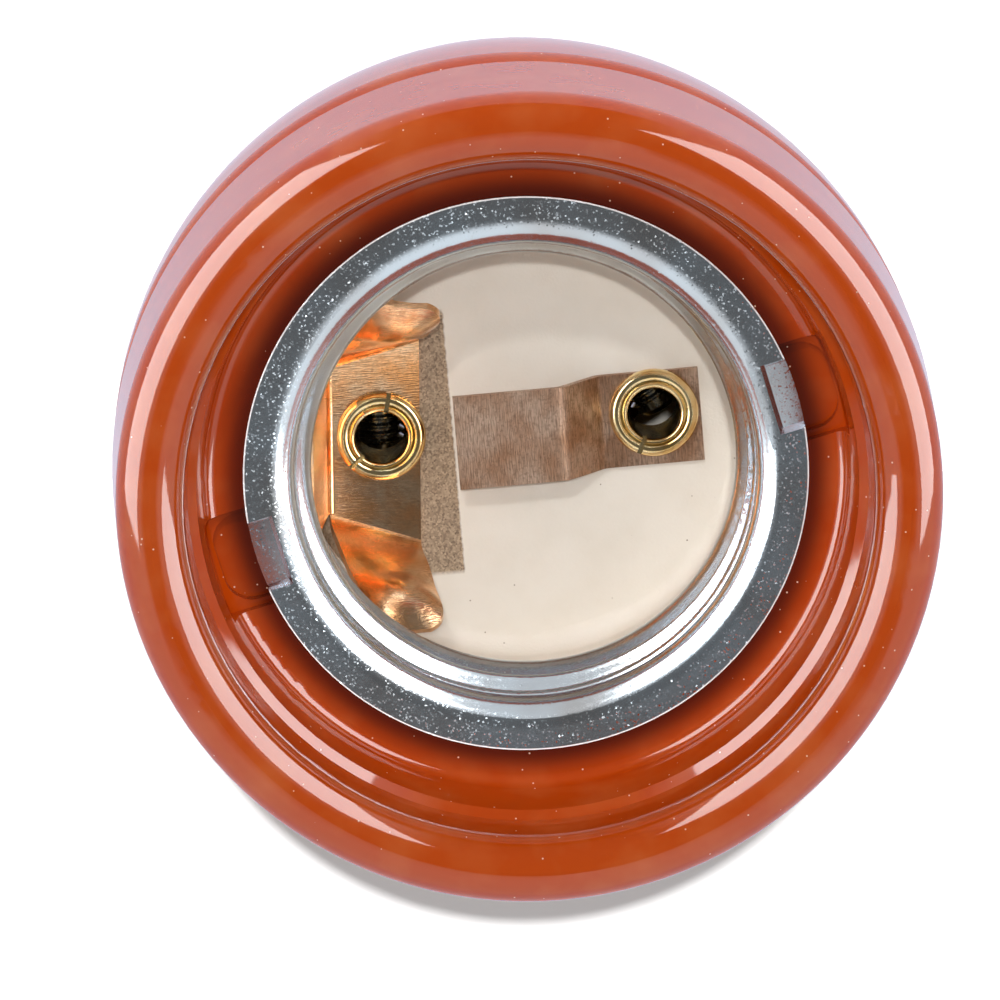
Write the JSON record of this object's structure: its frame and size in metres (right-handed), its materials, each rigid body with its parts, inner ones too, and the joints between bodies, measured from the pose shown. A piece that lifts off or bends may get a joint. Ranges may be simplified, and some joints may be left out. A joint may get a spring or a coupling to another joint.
{
  "type": "lamp holder",
  "caption": "Round glazed porcelain lamp holder with an E27 screw shell, sprung contacts, screw terminals and a rear cap with a threaded cable entry.",
  "frame": {"origin": "centre of the rear cap's flat back", "axes": "+Z along the holder's axis towards the lamp opening, +X from the side contact's eyelet to the centre contact's eyelet"},
  "size_m": [0.0476, 0.0476, 0.0567],
  "materials": {
    "porcelain": "glossy brown glaze, bare inside the bore",
    "porcelain_cap": "glossy brown glaze",
    "zinc": "zinc plated, speckled",
    "bronze": "bright phosphor bronze",
    "copper": "matt rolled copper alloy",
    "brass": "bright rolled brass",
    "terminal_brass": "plain brass",
    "screw_steel": "zinc plated steel",
    "bush_brass": "turned brass",
    "nut_steel": "zinc plated steel",
    "fibre": "red vulcanised fibre"
  },
  "bodies": {
    "holder": {"holder_body": "porcelain", "screw_shell": "zinc", "side_contact": "bronze", "centre_contact": "copper", "side_eyelet": "brass", "centre_eyelet": "brass", "side_terminal": "terminal_brass", "centre_terminal": "terminal_brass", "rear_cap": "porcelain_cap", "cap_screw_1": "screw_steel", "cap_washer_1": "screw_steel", "cap_nut_1": "screw_steel", "cap_screw_2": "screw_steel", "cap_washer_2": "screw_steel", "cap_nut_2": "screw_steel", "entry_bush": "bush_brass", "bush_washer": "fibre", "entry_washer": "fibre", "entry_nut": "nut_steel"},
    "side_terminal_screw": {"side_terminal_screw": "screw_steel"},
    "centre_terminal_screw": {"centre_terminal_screw": "screw_steel"}
  },
  "joints": [
    {"name": "side_screw_travel", "type": "slide", "parent": "holder", "child": "side_terminal_screw", "axis": [0.0872, 0.9962, 0], "range_m": [-0.0003, 0.0052]},
    {"name": "centre_screw_travel", "type": "slide", "parent": "holder", "child": "centre_terminal_screw", "axis": [-0.4226, 0.9063, 0], "range_m": [-0.0015, 0.004]}
  ]
}
